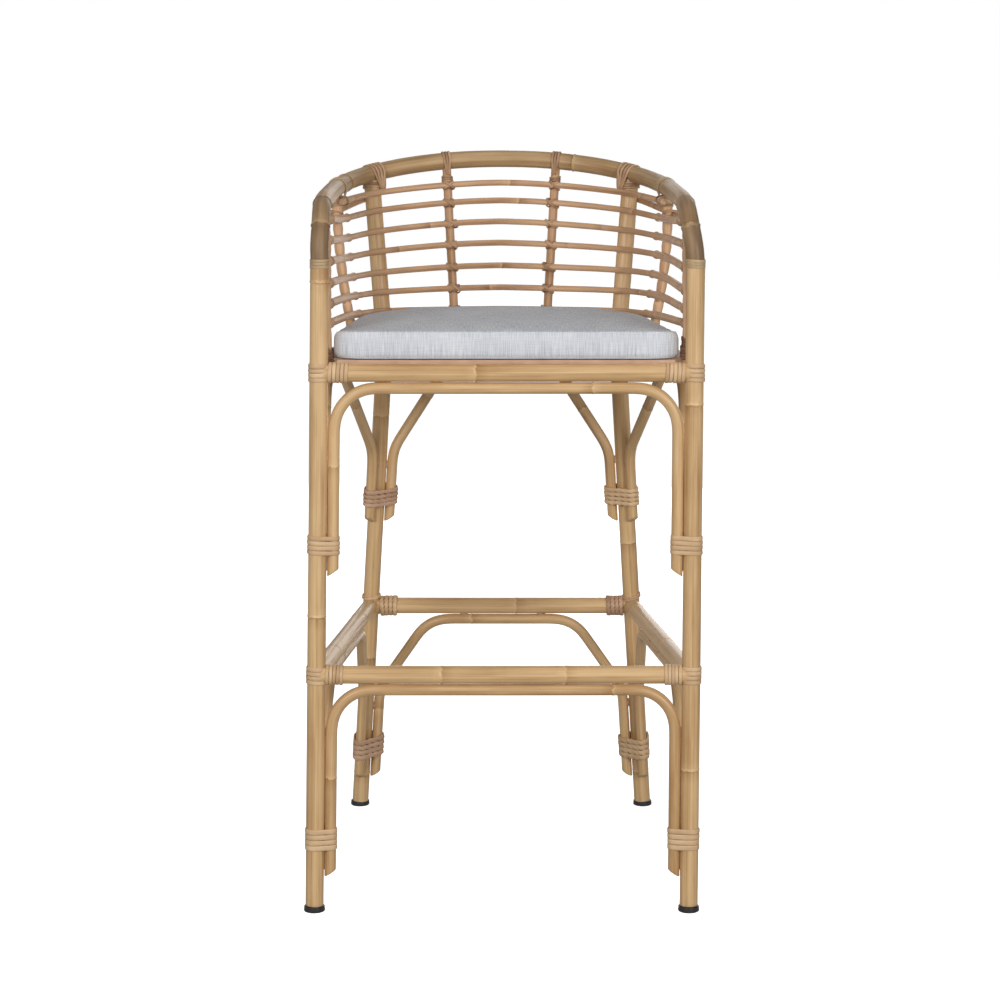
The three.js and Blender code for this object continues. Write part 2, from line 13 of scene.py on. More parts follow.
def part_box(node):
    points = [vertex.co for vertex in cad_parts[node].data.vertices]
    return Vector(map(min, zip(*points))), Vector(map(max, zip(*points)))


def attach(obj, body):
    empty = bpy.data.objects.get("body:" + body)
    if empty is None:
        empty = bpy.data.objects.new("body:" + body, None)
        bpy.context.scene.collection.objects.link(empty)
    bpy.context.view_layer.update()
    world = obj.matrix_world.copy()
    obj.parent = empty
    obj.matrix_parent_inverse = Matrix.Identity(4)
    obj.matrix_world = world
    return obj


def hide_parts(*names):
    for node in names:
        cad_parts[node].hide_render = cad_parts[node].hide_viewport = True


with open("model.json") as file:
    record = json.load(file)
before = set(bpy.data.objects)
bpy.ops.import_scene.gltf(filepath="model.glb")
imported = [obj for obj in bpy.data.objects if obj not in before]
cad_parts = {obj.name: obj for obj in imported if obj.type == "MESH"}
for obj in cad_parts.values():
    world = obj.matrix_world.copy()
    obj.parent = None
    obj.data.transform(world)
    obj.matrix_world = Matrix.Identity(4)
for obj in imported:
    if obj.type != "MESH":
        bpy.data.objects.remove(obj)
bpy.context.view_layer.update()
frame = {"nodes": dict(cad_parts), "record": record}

# ---- Sizes ----

MM = 0.001
STEP = 5 * MM  # between the sections that find a pole's centre line
RADII = {"pole": 12.5 * MM, "rim": 12.5 * MM, "bow": 8 * MM, "reed": 4.5 * MM}
POST_R = 6.5 * MM  # back and side posts
CANE = 2 * MM  # thickness of a cane strip
SIDES = ("left", "right")
SLOT_OF = {part["node"]: part["material_slot"] for part in frame["record"]["subparts"]}


def unit(vector):
    return vector / np.linalg.norm(vector)


def units(rows):
    return rows / np.linalg.norm(rows, axis=1)[:, None]


def distances(points):
    """How far along a line each of its points is."""
    return np.concatenate([[0], np.cumsum(np.linalg.norm(np.diff(points, axis=0), axis=1))])


def off_axis(along):
    """Forwards, or upwards for a pole that runs forwards."""
    return np.array([0.0, -1.0, 0.0]) if abs(along[1]) < 0.8 else np.array([0.0, 0.0, 1.0])


def coordinates(mesh):
    flat = np.zeros(len(mesh.vertices) * 3)
    mesh.vertices.foreach_get("co", flat)
    return flat.reshape(-1, 3)


def add_object(name, data):
    thing = bpy.data.objects.new(name, data)
    bpy.context.scene.collection.objects.link(thing)
    return thing


def draws(name):
    """A random generator that belongs to one piece, so that no piece changes another."""
    return np.random.default_rng(zlib.crc32(name.encode()))


# ---- Centre lines of the CAD poles ----


def triangles(node):
    mesh = frame["nodes"][node].data
    mesh.calc_loop_triangles()
    index = np.zeros(len(mesh.loop_triangles) * 3, int)
    mesh.loop_triangles.foreach_get("vertices", index)
    return coordinates(mesh)[index].reshape(-1, 3, 3)


def section(tris, point, along, reach):
    """Area and centre of a mesh's section by the plane through a point, within reach of that point."""
    side = (tris - point) @ along
    crossing = (side.min(1) < 0) & (side.max(1) >= 0)
    t, d = tris[crossing], side[crossing]
    above = d >= 0
    lone = np.where(above.sum(1) == 1, above.argmax(1), (~above).argmax(1))
    rows = np.arange(len(t))
    a, da = t[rows, lone], d[rows, lone]
    ends = []
    for k in (1, 2):
        b, db = t[rows, (lone + k) % 3], d[rows, (lone + k) % 3]
        ends.append(a + (b - a) * (da / (da - db))[:, None] - point)
    p, q = ends
    outward = np.cross(t[:, 1] - t[:, 0], t[:, 2] - t[:, 0])
    wrong = (np.cross(along, outward) * (q - p)).sum(1) < 0
    p[wrong], q[wrong] = q[wrong], p[wrong].copy()
    close = np.linalg.norm(p + q, axis=1) / 2 < reach
    wedges = np.cross(p[close], q[close]) @ along / 2
    area = wedges.sum()
    if area <= 0:
        return 0, point
    return area, point + ((p[close] + q[close]) / 3 * wedges[:, None]).sum(0) / area


class Axis:
    """Centre line of a round CAD pole, found by stepping through its mesh from section to section."""

    def __init__(self, node, radius):
        self.radius = radius
        self.tris = triangles(node)
        middles = self.tris.mean(1)
        seed = self.tris[np.argmin(((middles - middles.mean(0)) ** 2).sum(1))]
        edges = seed - np.roll(seed, 1, axis=0)
        along = unit(edges[np.argmax((edges**2).sum(1))])
        inward = -unit(np.cross(seed[1] - seed[0], seed[2] - seed[0]))
        start = seed.mean(0) + inward * radius
        for _ in range(3):
            full, start = self.section(start, along)
            along = unit(self.section(start + along * STEP, along)[1] - start)
        forward, back = self.march(start, along, full), self.march(start, -along, full)
        points = np.array(back[::-1] + [start] + forward)
        span = points[-1] - points[0]
        if span[np.argmax(abs(span))] < 0:
            points = points[::-1]
        for _ in range(3):
            points[1:-1] = (points[:-2] + 2 * points[1:-1] + points[2:]) / 4
        self.set(points)

    def set(self, points):
        self.points = points
        self.s = distances(points)
        self.length = self.s[-1]

    def section(self, point, along):
        return section(self.tris, point, along, 2.5 * self.radius)

    def march(self, point, along, full):
        """Points from one step past the start to the pole's end."""
        points = []
        while True:
            area, centre = self.section(point + along * STEP, along)
            if area < 0.9 * full:
                break
            along, point = unit(centre - point), centre
            points.append(centre)
        offsets = self.tris.reshape(-1, 3) - point
        ahead = offsets @ along
        beside = np.linalg.norm(offsets - ahead[:, None] * along, axis=1)
        near = (beside < 1.1 * self.radius) & (ahead < 4 * self.radius)
        points.append(point + along * ahead[near].max())
        return points

    def lengthen(self, at_start, at_end):
        ahead = unit(self.points[-1] - self.points[-3]) * at_end
        behind = unit(self.points[0] - self.points[2]) * at_start
        self.set(np.vstack([self.points[0] + behind, self.points[1:-1], self.points[-1] + ahead]))

    def at(self, s):
        return np.stack([np.interp(s, self.s, self.points[:, k]) for k in range(3)], -1)

    def along(self, s):
        s = np.clip(s, STEP, self.length - STEP)
        return unit(self.at(s + STEP) - self.at(s - STEP))

    def beyond(self, s):
        """Point on the pole, or on the straight line on from its end."""
        return self.at(s) + (s - np.clip(s, 0, self.length)) * self.along(s)

    def near(self, point):
        s = self.s[np.argmin(((self.points - point) ** 2).sum(1))]
        return s + (point - self.at(s)) @ self.along(s)

    def crossing(self, point, normal):
        """Where the pole passes through a plane, nearest to a point in it."""
        d = (self.points - point) @ normal
        i = np.nonzero(d[:-1] * d[1:] <= 0)[0]
        share = (d[i] / (d[i] - d[i + 1]))[:, None]
        found = self.points[i] * (1 - share) + self.points[i + 1] * share
        return found[np.argmin(((found - point) ** 2).sum(1))]


def pole_nodes():
    for node, slot in SLOT_OF.items():
        if slot in RADII:
            yield node, POST_R if node.startswith(("back_post", "side_post")) else RADII[slot]


AXES = {node: Axis(node, radius) for node, radius in pole_nodes()}


# ---- Meshes made of rings ----


class Rings:
    """Collects tubes, each a grid of rings, and makes one object of them."""

    def __init__(self):
        self.points, self.faces, self.uvs, self.tones, self.marks = [], [], [], [], []
        self.count = 0

    def add(self, rings, closed=False, tone=0.0, marks=None, girth=None):
        """rings is stations by points round by 3. Closed tubes join their last ring to the first.
        The UV map holds metres along and metres round, shifted for each tube so that no grain repeats."""
        n, m = rings.shape[:2]
        centres = rings.mean(1)
        steps = np.linalg.norm(np.diff(centres, axis=0, append=centres[:1]), axis=1)
        u = np.concatenate([[0], np.cumsum(steps)]) + 0.37 * len(self.faces) % 9
        girth = girth or np.linalg.norm(rings[0] - np.roll(rings[0], 1, axis=0), axis=1).sum()
        v = np.linspace(0, girth, m + 1)
        i, j = np.meshgrid(np.arange(n if closed else n - 1), np.arange(m), indexing="ij")
        i, j = i.ravel(), j.ravel()
        after, beside = (i + 1) % n, (j + 1) % m
        quads = np.stack([i * m + j, i * m + beside, after * m + beside, after * m + j], 1) + self.count
        corners = np.stack([u[i], v[j], u[i], v[j + 1], u[i + 1], v[j + 1], u[i + 1], v[j]], 1)
        self.faces += quads.tolist()
        self.uvs.append(corners.reshape(-1, 2))
        if not closed:
            around = np.arange(m)
            for ring, order in ((0, around[::-1]), (n - 1, around)):
                self.faces.append((ring * m + order + self.count).tolist())
                self.uvs.append(np.stack([np.full(m, u[ring]), v[order]], 1))
        self.points.append(rings.reshape(-1, 3))
        self.tones.append(np.broadcast_to(np.asarray(tone, float).reshape(-1, 1), (n, m)).ravel())
        far = np.full((n, m), -1.0) if marks is None else np.broadcast_to(marks.reshape(-1, 1), (n, m))
        self.marks.append(far.ravel())
        self.count += n * m

    def make(self, name, material, replaces=(), body="stool_frame"):
        mesh = bpy.data.meshes.new(name)
        mesh.from_pydata(np.vstack(self.points).tolist(), [], self.faces)
        mesh.uv_layers.new(name="grain").data.foreach_set("uv", np.vstack(self.uvs).ravel())
        for label, values in (("tone", self.tones), ("mark", self.marks)):
            attribute = mesh.attributes.new(label, "FLOAT", "POINT")
            attribute.data.foreach_set("value", np.concatenate(values))
        mesh.shade_smooth()
        mesh.set_sharp_from_angle(angle=math.radians(50))
        mesh.materials.append(material)
        piece = add_object(name, mesh)
        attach(piece, body)
        if replaces:
            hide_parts(*replaces)
        return piece


def carried_normals(points):
    """Tangents of a path, and two normals carried along it without twist."""
    tangents = units(np.gradient(points, axis=0))
    reference = off_axis(tangents[0])
    first = []
    for tangent in tangents:
        reference = unit(reference - (reference @ tangent) * tangent)
        first.append(reference)
    first = np.array(first)
    return tangents, first, np.cross(tangents, first)


# ---- Poles ----


def full_turn(count):
    return np.linspace(0, 2 * math.pi, count, endpoint=False)


# Natural joints of the poles seen from the front: the coordinate (0 is x, 2 is z) and its value, mm.
MARKS = {
    "front_leg_left": ((2, 416), (2, 871)),
    "front_leg_right": ((2, 200), (2, 704)),
    "rear_leg_left": ((2, 51), (2, 252), (2, 640)),
    "rear_leg_right": ((2, 60), (2, 435), (2, 760)),
    "seat_rail_front": ((0, -38),),
    "foot_rail_front": ((0, -84), (0, 87)),
    "foot_rail_back": ((0, 21),),
    "seat_bow_front": ((2, 620), (0, 118)),
    "foot_bow_front": ((2, 189), (0, 150)),
}
# Distances of joints from the rim's left end, mm. The first two are there at its right end too.
RIM_MARKS = (49, 109, 400, 830)
PALE_FIRST = ("front_leg", "rear_leg")  # the pale side of their joints is the upper one


def mark_places(name, axis):
    """Distances along a pole at which its cane has a joint: the known ones, or every 0.2 to 0.32 m."""
    if name == "rim":
        return sorted([d * MM for d in RIM_MARKS] + [axis.length - d * MM for d in RIM_MARKS[:2]])
    if name in MARKS:
        offsets = [axis.points[:, k] - value * MM for k, value in MARKS[name]]
        return [axis.s[np.argmax(offset * offset[0] <= 0)] for offset in offsets]
    rng = draws(name + "marks")
    places, s = [], rng.uniform(0.05, 0.25)
    while s < axis.length - 0.03:
        places.append(s)
        s += rng.uniform(0.2, 0.32)
    return places


def stations(axis, radius, marks):
    fine = np.array([-4, -2.4, -1.2, -0.5, 0, 0.5, 1.2, 2.4, 4]) * MM
    step = 1.5 * MM if radius == RADII["reed"] else 6 * MM
    s = [np.linspace(0, axis.length, max(3, round(axis.length / step)))]
    s += [mark + fine for mark in marks]
    s.append(np.array([0.3, 1.1]) * radius / 10)
    s.append(axis.length - np.array([0.3, 1.1]) * radius / 10)
    s = np.unique(np.concatenate(s))
    s = s[(s >= 0) & (s <= axis.length)]
    keep = np.concatenate([[True], np.diff(s) > 0.2 * MM])
    keep[-1] = True
    return s[keep]


RIDGE = {"rim": 2.4, "front_leg_left": 1.6}  # poles with stronger joints


def ridge(s, marks, size):
    """Rise of a pole's surface at its joints: a lip, with a shallow groove before it."""
    rise = np.zeros_like(s)
    for mark in marks:
        d = (s - mark) / MM
        rise += 0.4 * np.exp(-((d / 1.5) ** 2)) - 0.25 * np.exp(-(((d + 2.6) / 1.3) ** 2))
    return rise * MM * size


def pole_rings(name, axis, radius, sides, marks, cuts=(None, None), swell=None):
    """Rings of a natural pole: slightly uneven, jointed, and chamfered or bevelled at its ends."""
    rng = draws(name)
    s = stations(axis, radius, marks)
    centres = axis.at(s)
    tangents, first, second = carried_normals(centres)
    angle = full_turn(sides)
    phases = rng.uniform(0, 2 * math.pi, 4)
    uneven = 0.006 * np.sin(s / 0.11 + phases[0]) + 0.005 * np.sin(s / 0.043 + phases[1])
    oval = 0.012 * np.cos(2 * angle + phases[2])
    size = RIDGE.get(name, radius / RADII["pole"])
    reach = radius * (1 + uneven)[:, None] * (1 + oval) + ridge(s, marks, size)[:, None]
    if swell is not None:
        reach = reach + swell(s)[:, None]
    from_end = np.minimum(s, axis.length - s)
    chamfer = np.clip(1 - from_end / (1.2 * MM), 0, 1) ** 2 * 0.9 * MM
    reach = reach - chamfer[:, None]
    rings = centres[:, None] + reach[..., None] * (
        np.cos(angle)[:, None] * first[:, None] + np.sin(angle)[:, None] * second[:, None]
    )
    for cut, end in zip(cuts, (0.0, axis.length)):
        if cut is not None:
            slope, tip = cut
            cut_end(rings, centres, tangents, s, end, slope, np.array(tip, float), radius)
    return s, rings


def cut_end(rings, centres, tangents, s, end, slope, tip, radius):
    """Bevels one end of a pole: it stays longest on the side that tip points to."""
    inward = 1 if end == 0.0 else -1
    tangent = tangents[0] if end == 0.0 else tangents[-1]
    toward = unit(tip - (tip @ tangent) * tangent)
    share = np.clip(1 - abs(s - end) / (3.2 * radius), 0, 1)
    side = (rings - centres[:, None]) @ toward / radius
    drop = slope * radius * (1 - side) * share[:, None]
    rings += inward * drop[..., None] * tangents[:, None]


# How much darker (or paler) some poles are than their draws. The side foot rails' paler shift is painted
# highlight: the light on their tops, painted into their colour.
TONE_SHIFT_AND_PAINTED_HIGHLIGHT = {"foot_bow_front": 1.3, "foot_rail_front": 0.7, "foot_rail_left": -1.5, "foot_rail_right": -1.5}


def tones(name, s, marks):
    """One tone for each stretch between two joints. The rim is scorched dark where it was bent into arms."""
    rng = draws(name + "tones")
    each = rng.uniform(-1, 1, len(marks) + 1)
    if "reed" in name:
        each *= 0.4
    # the side foot rails' paler shift is painted highlight
    each += TONE_SHIFT_AND_PAINTED_HIGHLIGHT.get(name, 0)
    if name == "rim":
        each[[0, 1, -2, -1]] = 2.4, 1.7, 1.7, 2.3
    if name == "front_leg_left":
        each[-1] = 1.8
    return each[np.searchsorted(marks, s)] if len(marks) else np.full_like(s, each[0])


def from_mark(s, marks, flip):
    """Distance past the nearest joint, negative before it; -1 where a pole has none."""
    if not len(marks):
        return np.full_like(s, -1.0)
    marks = np.array(marks)
    nearest = marks[np.argmin(abs(s[:, None] - marks), axis=1)]
    return (s - nearest) * (-1 if flip else 1)


# ---- Materials ----


class Shader:
    """A material's node graph, built by calls that return output sockets."""

    def __init__(self, name):
        self.material = bpy.data.materials.new(name)
        self.material.use_nodes = True
        self.tree = self.material.node_tree
        self.surface = self.tree.nodes["Principled BSDF"]

    def set(self, **values):
        for name, value in values.items():
            self.put(self.surface.inputs[name.replace("_", " ")], value)

    def put(self, socket, value):
        if isinstance(value, bpy.types.NodeSocket):
            self.tree.links.new(value, socket)
        else:
            socket.default_value = value

    def node(self, kind, inputs=(), **settings):
        node = self.tree.nodes.new(kind)
        for name, value in settings.items():
            setattr(node, name, value)
        for key, value in dict(inputs).items():
            self.put(node.inputs[key], value)
        return node

    def math(self, operation, a, b=0.0, c=0.0, clamp=False):
        node = self.node("ShaderNodeMath", {0: a, 1: b, 2: c}, operation=operation, use_clamp=clamp)
        return node.outputs[0]

    def noise(self, vector, scale=1.0, detail=2.0, roughness=0.5):
        inputs = {"Vector": vector, "Scale": scale, "Detail": detail, "Roughness": roughness}
        return self.node("ShaderNodeTexNoise", inputs).outputs["Fac"]

    def vector(self, x, y, z=0.0):
        return self.node("ShaderNodeCombineXYZ", {0: x, 1: y, 2: z}).outputs[0]

    def parts(self, vector):
        return self.node("ShaderNodeSeparateXYZ", {0: vector}).outputs

    def attribute(self, name):
        return self.node("ShaderNodeAttribute", attribute_name=name).outputs["Fac"]

    def between(self, value, low, high, out_low=0.0, out_high=1.0):
        inputs = {"Value": value, "From Min": low, "From Max": high, "To Min": out_low, "To Max": out_high}
        return self.node("ShaderNodeMapRange", inputs).outputs[0]

    def mix(self, share, a, b):
        node = self.node("ShaderNodeMix", {"Factor": share}, data_type="RGBA")
        self.put(node.inputs[6], a)
        self.put(node.inputs[7], b)
        return node.outputs[2]

    def scale(self, a, b):
        return self.math("MULTIPLY", a, b)

    def scale_add(self, a, b, c, **how):
        return self.math("MULTIPLY_ADD", a, b, c, **how)

    def scaler(self, u, v):
        return lambda a, b: self.vector(self.scale(u, a), self.scale(v, b))

    def grain(self):
        """A function that scales the places along and around a pole."""
        return self.scaler(*self.parts(self.node("ShaderNodeUVMap", uv_map="grain").outputs[0])[:2])

    def bump(self, height, depth, strength=1.0):
        inputs = {"Height": height, "Distance": depth, "Strength": strength}
        self.set(Normal=self.node("ShaderNodeBump", inputs).outputs[0])


def colour(r, g, b):
    """Linear colour from 0 to 255 display values."""
    return tuple(((v / 255 + 0.055) / 1.055) ** 2.4 for v in (r, g, b)) + (1.0,)


def rattan(name, light, dark, scorch, coat, gloss):
    """Scraped, lacquered rattan: grain along the pole, a tone for each stretch, and rings at its joints."""
    m = Shader(name)
    scaled = m.grain()
    fine = m.noise(scaled(9, 1100), detail=3)
    streak = m.noise(scaled(4, 210), detail=2)
    mottle = m.noise(scaled(14, 60), detail=3)
    slow = m.noise(scaled(3, 12), detail=1)
    tone = m.attribute("tone")
    jagged = m.scale_add(m.noise(scaled(0, 170), detail=1), 0.009, -0.0045)
    past = m.math("ADD", m.attribute("mark"), jagged)
    beyond = m.between(past, -0.0002, 0.0004)
    dark_ring = m.scale(beyond, m.between(past, 0, 0.018, 1, 0))
    near = m.scale(m.between(past, -0.014, -0.002), m.math("SUBTRACT", 1, beyond))
    ring = m.between(m.math("ABSOLUTE", m.math("ADD", past, 0.0012)), 0.0025, 0.0012)
    share = m.scale_add(fine, 0.8, -0.16)
    for value, weight in ((streak, 1.6), (mottle, 0.8), (slow, 0.6)):
        share = m.scale_add(m.math("SUBTRACT", value, 0.5), weight, share)
    share = m.scale_add(tone, 0.13, share)
    share = m.scale_add(dark_ring, 0.35, share)
    share = m.scale_add(ring, -0.22, share)
    share = m.scale_add(near, -0.22, share, clamp=True)
    base = m.mix(share, light, dark)
    burnt = m.scale(m.between(m.noise(scaled(5, 9), detail=2), 0.55, 0.75), 0.45)
    singed = m.scale(m.between(tone, 0.9, 2.2), m.scale_add(mottle, 1.2, 0.1))
    burnt = m.math("MAXIMUM", burnt, singed, clamp=True)
    burnt = m.scale(burnt, m.scale_add(ring, -0.3, 1))
    base = m.mix(burnt, base, scorch)
    m.set(Base_Color=base, Roughness=m.scale_add(fine, 0.2, 0.34))
    m.set(Coat_Weight=coat, Coat_Roughness=0.3, Specular_IOR_Level=gloss)
    m.bump(m.scale_add(streak, 0.6, fine), 0.00012, 0.6)
    return m.material


def cane(name, light, dark):
    """Split cane strip: fine lines along it and a tone for each turn."""
    m = Shader(name)
    scaled = m.grain()
    fine = m.noise(scaled(30, 1900), detail=2)
    blotch = m.noise(scaled(45, 130), detail=2)
    share = m.scale_add(m.math("SUBTRACT", blotch, 0.5), 0.9, m.scale(fine, 0.7))
    share = m.scale_add(m.attribute("tone"), 0.22, share, clamp=True)
    m.set(Base_Color=m.mix(share, light, dark), Roughness=m.scale_add(fine, 0.2, 0.42))
    m.set(Coat_Weight=0.1, Coat_Roughness=0.35)
    m.bump(m.scale_add(blotch, 0.4, fine), 0.00015, 0.7)
    return m.material


THREAD = 1.1 * MM  # from one thread of the cushion's weave to the next


def linen(name):
    """Light grey slub weave, its darker threads bluish: partly the cloth's own grey, partly painted
    reflection. Threads follow x and y on the top, and x and z or y and z on the sides.
    """
    m = Shader(name)
    x, y, z = m.parts(m.node("ShaderNodeTexCoord").outputs["Object"])[:3]
    normal = m.parts(m.node("ShaderNodeNewGeometry").outputs["Normal"])
    facing_x = m.math("GREATER_THAN", m.math("ABSOLUTE", normal[0]), 0.72)
    facing_up = m.math("GREATER_THAN", m.math("ABSOLUTE", normal[2]), 0.6)
    pick = lambda share, a, b: m.scale_add(share, m.math("SUBTRACT", b, a), a)
    across = pick(facing_x, x, y)
    down = pick(facing_up, z, y)
    scaled = m.scaler(across, down)
    slub = m.noise(scaled(880, 34), detail=3)
    weft = m.noise(scaled(30, 700), detail=2)
    cloud = m.noise(scaled(22, 9), detail=2)
    weave = m.scale(*(m.math("SINE", m.scale(way, 2 * math.pi / THREAD)) for way in (across, down)))
    share = m.scale_add(slub, 2.1, -0.68)
    share = m.scale_add(m.math("SUBTRACT", weft, 0.5), 0.6, share)
    share = m.scale_add(m.math("SUBTRACT", cloud, 0.5), 0.5, share)
    share = m.scale_add(weave, 0.08, share, clamp=True)
    # The darker colour's blue tint is painted reflection of the surroundings, over the cloth's own grey.
    m.set(Base_Color=m.mix(share, colour(234, 236, 240), colour(184, 188, 196)), Roughness=0.92)
    m.set(Sheen_Weight=0.06, Sheen_Roughness=0.5, Specular_IOR_Level=0.15)
    m.bump(m.scale_add(slub, 1.2, weave), 0.0003, 0.55)
    return m.material


def plastic(name):
    m = Shader(name)
    point = m.node("ShaderNodeTexCoord").outputs["Object"]
    grit = m.noise(point, 900, 2)
    m.set(Base_Color=m.mix(grit, colour(22, 21, 21), colour(34, 33, 33)))
    m.set(Roughness=m.scale_add(grit, 0.2, 0.35))
    m.bump(grit, 0.0001, 0.4)
    return m.material


def board(name):
    m = Shader(name)
    x, y, z = m.parts(m.node("ShaderNodeTexCoord").outputs["Object"])[:3]
    stretched = [m.scale(value, scale) for value, scale in ((x, 8), (y, 260), (z, 260))]
    grain = m.noise(m.vector(*stretched), detail=4)
    m.set(Base_Color=m.mix(grain, colour(196, 162, 130), colour(150, 116, 88)), Roughness=0.6)
    m.bump(grain, 0.0002, 0.5)
    return m.material


HONEY = rattan("honey_rattan", colour(219, 183, 134), colour(162, 118, 68), colour(166, 118, 70), 0.2, 0.4)
BROWN = rattan("rim_rattan", colour(194, 162, 120), colour(140, 104, 66), colour(116, 94, 72), 0.04, 0.25)
REED = rattan("reed_rattan", colour(216, 176, 138), colour(152, 108, 74), colour(134, 92, 60), 0.02, 0.15)
WRAP = cane("pale_cane", colour(224, 192, 150), colour(178, 138, 98))
PINK = cane("pink_cane", colour(208, 170, 140), colour(152, 112, 84))
KHAKI = cane("rim_cane", colour(196, 170, 130), colour(146, 118, 84))
# Very dark cane for the seat corners: partly the cane's own colour, partly painted shade under the cushion.
DARK_SHADED_CANE = cane("dark_cane_painted_shade", colour(140, 100, 70), colour(84, 54, 34))
LINEN = linen("grey_linen")
PLASTIC = plastic("black_plastic")
BOARD = board("seat_board")
POLE_MATERIAL = {"pole": HONEY, "bow": HONEY, "rim": BROWN, "reed": REED}

# ---- The poles in their places ----

EXTEND = {  # how far a pole runs on past its CAD end, into the pole that it is joined to
    "front_leg": (0, 1 * MM),
    "rear_leg": (0, 5 * MM),
    "rim": (0.6 * MM, 0.6 * MM),
    "seat_rail": (9 * MM, 9 * MM),
    "foot_rail": (9 * MM, 9 * MM),
    "back_post": (3 * MM, 5 * MM),
    "side_post": (3 * MM, 5 * MM),
}
BEVEL = 0.672  # slope of a bow's cut ends


def bow_cuts(axis):
    """A bow's ends are cut on a bevel, longest beside the leg."""
    legs = [AXES[f"{place}_leg_{side}"] for place in ("front", "rear") for side in SIDES]
    cuts = []
    for s in (0.0, axis.length):
        end = axis.at(s)
        beside = min((leg.crossing(end, leg.along(leg.near(end))) - end for leg in legs), key=np.linalg.norm)
        cuts.append((BEVEL, beside))
    return cuts


TAIL_PAST = 14 * MM  # how far a reed's thick end runs on past the side post
TAIL_SWELL = 1.1 * MM
TAIL_EASE = 0.35  # how softly the thick end starts, mm
LIP = 0.9 * MM
POST_BULGE = 1.4 * MM


def closest(one, other):
    """Distances along two poles at which they come closest."""
    gaps = np.linalg.norm(one.points[:, None] - other.points[None], axis=2)
    i, j = np.unravel_index(np.argmin(gaps), gaps.shape)
    return one.s[i], other.s[j]


def tail_swell(axis, row):
    """Rise of a reed's surface: both its ends are thicker, up to a rounded lip just past the side post."""
    rng = draws(f"tail{row}")
    ends = []
    for side in SIDES:
        at_post = closest(axis, AXES[f"side_post_{side}"])[0]
        ends.append((at_post, TAIL_PAST + rng.uniform(-4, 6) * MM))
    (left, left_past), (right, right_past) = ends

    def rise(s):
        inside = np.maximum(left + left_past - s, s - right + right_past) / MM
        lip = LIP * np.exp(-(((inside - 1.6) / 1.6) ** 2))
        return TAIL_SWELL / (1 + np.exp(np.minimum(-inside / TAIL_EASE, 50))) + lip

    return rise


def post_bulge(axis):
    """Rise of a thin post's surface: it swells a little between one reed and the next."""
    rows = [closest(axis, AXES[f"back_reed_{row}"])[0] for row in range(2, 8)]

    def rise(s):
        gap = np.min(abs(s[:, None] - np.array(rows)), axis=1)
        return POST_BULGE * (np.clip(gap / (13 * MM), 0, 1) - 0.3)

    return rise


def swellings(node, axis):
    if node.startswith("back_reed") and not node.endswith("_1"):
        return tail_swell(axis, node[-1])
    return post_bulge(axis) if node.startswith(("side_post", "front_post")) else None


def make_pole(node):
    axis, slot = AXES[node], SLOT_OF[node]
    for prefix, (at_start, at_end) in EXTEND.items():
        if node.startswith(prefix):
            axis.lengthen(at_start, at_end)
    marks = mark_places(node, axis)
    cuts = bow_cuts(axis) if slot == "bow" else (None, None)
    sides = 24 if slot in ("pole", "rim") else 16
    s, rings = pole_rings(node, axis, axis.radius, sides, marks, cuts, swellings(node, axis))
    flip = node.startswith(PALE_FIRST) or "rail" not in node and draws(node + "flip").random() < 0.5
    girth = 2 * math.pi * axis.radius
    piece = Rings()
    piece.add(rings, tone=tones(node, s, marks), marks=from_mark(s, marks, flip), girth=girth)
    piece.make(node + "_pole", POLE_MATERIAL[slot], [node])


# ---- Cane ----


def smoothed(points, own, times):
    """A closed line, smoothed. own is the weight of each point itself."""
    for _ in range(times):
        points = (np.roll(points, 1, 0) + own * points + np.roll(points, -1, 0)) / (own + 2)
    return points


def loop_tangents(points):
    return units(np.roll(points, -1, 0) - np.roll(points, 1, 0))


def outward(points):
    """Outward normals of a closed flat line."""
    tangents = loop_tangents(points)
    return np.stack([tangents[:, 1], -tangents[:, 0]], 1)


def pulled_round(ellipses, count):
    """Points and outward normals of a band pulled tight round ellipses (x, y, half width, half height)."""
    angle = full_turn(64)
    ovals = [np.stack([x + a * np.cos(angle), y + b * np.sin(angle)], 1) for x, y, a, b in ellipses]
    cloud = np.vstack(ovals)
    cloud = cloud[np.lexsort((cloud[:, 1], cloud[:, 0]))]
    hull = []
    for points in (cloud, cloud[::-1]):
        chain = []
        for p in points:
            while len(chain) > 1:
                a, b = chain[-2], chain[-1]
                if (b[0] - a[0]) * (p[1] - a[1]) - (b[1] - a[1]) * (p[0] - a[0]) > 1e-12:
                    break
                chain.pop()
            chain.append(p)
        hull += chain[:-1]
    hull = np.array(hull + hull[:1])
    s = distances(hull)
    even = np.linspace(0, s[-1], count, endpoint=False)
    points = smoothed(np.stack([np.interp(even, s, hull[:, k]) for k in range(2)], 1), 4, 2)
    return points, outward(points)


